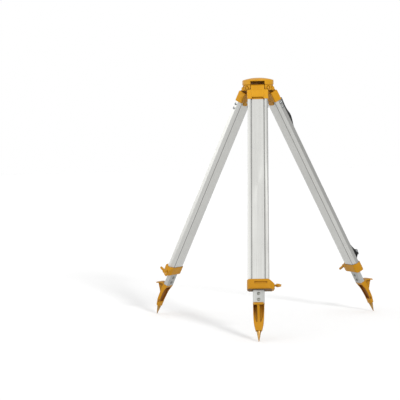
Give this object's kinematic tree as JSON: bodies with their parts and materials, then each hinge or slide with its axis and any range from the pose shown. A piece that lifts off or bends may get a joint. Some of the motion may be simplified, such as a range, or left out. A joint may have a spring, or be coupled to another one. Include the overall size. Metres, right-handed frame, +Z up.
{
  "type": "surveying tripod",
  "caption": "Surveying tripod with a domed head, a centring screw on a swinging arm, and telescopic aluminium legs with wing-screw clamps, footsteps and steel spikes.",
  "frame": {"origin": "centre of the bounding box, on the ground under the spikes", "axes": "+Z up, the front leg points to -Y, the strap is on the leg at +X"},
  "size_m": [0.9148, 0.8222, 0.9718],
  "materials": {
    "casting_paint": "aluminium castings in orange-yellow gloss enamel",
    "aluminium": "satin, as extruded",
    "spike_steel": "yellow passivated steel",
    "bright_steel": "zinc plated steel",
    "brass": "turned brass",
    "black_plastic": "moulded, fine grain",
    "black_webbing": "woven strap"
  },
  "bodies": {
    "head": {"head_casting": "casting_paint", "arm_pivot": "bright_steel", "hinge_bolt_front": "bright_steel", "hinge_nut_front": "bright_steel", "hinge_bolt_right": "bright_steel", "hinge_nut_right": "bright_steel", "hinge_bolt_left": "bright_steel", "hinge_nut_left": "bright_steel"},
    "leg_front": {"leg_top_front": "casting_paint", "leg_tube_front": "aluminium", "top_bolt_1_front": "bright_steel", "top_bolt_2_front": "bright_steel", "clamp_front": "casting_paint"},
    "slide_front": {"slide_tube_front": "aluminium", "slide_guide_front": "black_plastic", "foot_front": "casting_paint", "spike_front": "spike_steel", "foot_bolt_1_front": "bright_steel", "foot_bolt_2_front": "bright_steel"},
    "pad_front": {"clamp_pad_front": "brass"},
    "wing_front": {"wing_screw_front": "casting_paint"},
    "leg_right": {"leg_top_right": "casting_paint", "leg_tube_right": "aluminium", "top_bolt_1_right": "bright_steel", "top_bolt_2_right": "bright_steel", "clamp_right": "casting_paint", "strap_webbing": "black_webbing", "strap_buckle": "black_plastic", "strap_loop_top": "bright_steel", "strap_loop_bottom": "bright_steel"},
    "slide_right": {"slide_tube_right": "aluminium", "slide_guide_right": "black_plastic", "foot_right": "casting_paint", "spike_right": "spike_steel", "foot_bolt_1_right": "bright_steel", "foot_bolt_2_right": "bright_steel"},
    "pad_right": {"clamp_pad_right": "brass"},
    "wing_right": {"wing_screw_right": "casting_paint"},
    "leg_left": {"leg_top_left": "casting_paint", "leg_tube_left": "aluminium", "top_bolt_1_left": "bright_steel", "top_bolt_2_left": "bright_steel", "clamp_left": "casting_paint"},
    "slide_left": {"slide_tube_left": "aluminium", "slide_guide_left": "black_plastic", "foot_left": "casting_paint", "spike_left": "spike_steel", "foot_bolt_1_left": "bright_steel", "foot_bolt_2_left": "bright_steel"},
    "pad_left": {"clamp_pad_left": "brass"},
    "wing_left": {"wing_screw_left": "casting_paint"},
    "arm": {"centring_arm": "bright_steel"},
    "carriage": {"screw_carriage": "brass"},
    "cup": {"cup_washer": "brass"},
    "screw": {"centring_screw": "brass", "screw_knob": "black_plastic", "plumb_hook": "bright_steel"}
  },
  "joints": [
    {"name": "leg_front_spread", "type": "hinge", "parent": "head", "child": "leg_front", "pos_m": [0, 0.07482, 0.93008], "axis": [1, 0, 0], "range_deg": [-15, 27]},
    {"name": "leg_front_extend", "type": "slide", "parent": "leg_front", "child": "slide_front", "axis": [0, -0.4648, -0.8854], "range_m": [0, 0.58]},
    {"name": "pad_front_release", "type": "slide", "parent": "leg_front", "child": "pad_front", "axis": [1, 0, 0], "range_m": [0, 0.003]},
    {"name": "wing_front_turn", "type": "hinge", "parent": "pad_front", "child": "wing_front", "pos_m": [0, -0.31286, 0.19166], "axis": [1, 0, 0], "range_deg": [0, 720]},
    {"name": "leg_right_spread", "type": "hinge", "parent": "head", "child": "leg_right", "pos_m": [0.03637, 0.13782, 0.93008], "axis": [-0.5, 0.866, 0], "range_deg": [-15, 27]},
    {"name": "leg_right_extend", "type": "slide", "parent": "leg_right", "child": "slide_right", "axis": [0.4026, 0.2324, -0.8854], "range_m": [0, 0.58]},
    {"name": "pad_right_release", "type": "slide", "parent": "leg_right", "child": "pad_right", "axis": [-0.5, 0.866, 0], "range_m": [0, 0.003]},
    {"name": "wing_right_turn", "type": "hinge", "parent": "pad_right", "child": "wing_right", "pos_m": [0.37211, 0.33166, 0.19166], "axis": [-0.5, 0.866, 0], "range_deg": [0, 720]},
    {"name": "leg_left_spread", "type": "hinge", "parent": "head", "child": "leg_left", "pos_m": [-0.03637, 0.13782, 0.93008], "axis": [-0.5, -0.866, 0], "range_deg": [-15, 27]},
    {"name": "leg_left_extend", "type": "slide", "parent": "leg_left", "child": "slide_left", "axis": [-0.4026, 0.2324, -0.8854], "range_m": [0, 0.58]},
    {"name": "pad_left_release", "type": "slide", "parent": "leg_left", "child": "pad_left", "axis": [-0.5, -0.866, 0], "range_m": [0, 0.003]},
    {"name": "wing_left_turn", "type": "hinge", "parent": "pad_left", "child": "wing_left", "pos_m": [-0.37211, 0.33166, 0.19166], "axis": [-0.5, -0.866, 0], "range_deg": [0, 720]},
    {"name": "arm_swing", "type": "hinge", "parent": "head", "child": "arm", "pos_m": [0, 0.16082, 0.91978], "axis": [0, 0, 1], "range_deg": [-10, 10]},
    {"name": "carriage_shift", "type": "slide", "parent": "arm", "child": "carriage", "axis": [0, 1, 0], "range_m": [-0.008, 0.008]},
    {"name": "screw_lift", "type": "slide", "parent": "carriage", "child": "cup", "axis": [0, 0, 1], "range_m": [0, 0.014]},
    {"name": "screw_turn", "type": "hinge", "parent": "cup", "child": "screw", "pos_m": [0, 0.11682, 0.93008], "axis": [0, 0, 1], "continuous": true}
  ],
  "couplings": [
    {"joint": "wing_front_turn", "follows": "pad_front_release", "rad_per_m": 4188.8},
    {"joint": "wing_right_turn", "follows": "pad_right_release", "rad_per_m": 4188.8},
    {"joint": "wing_left_turn", "follows": "pad_left_release", "rad_per_m": 4188.8}
  ]
}
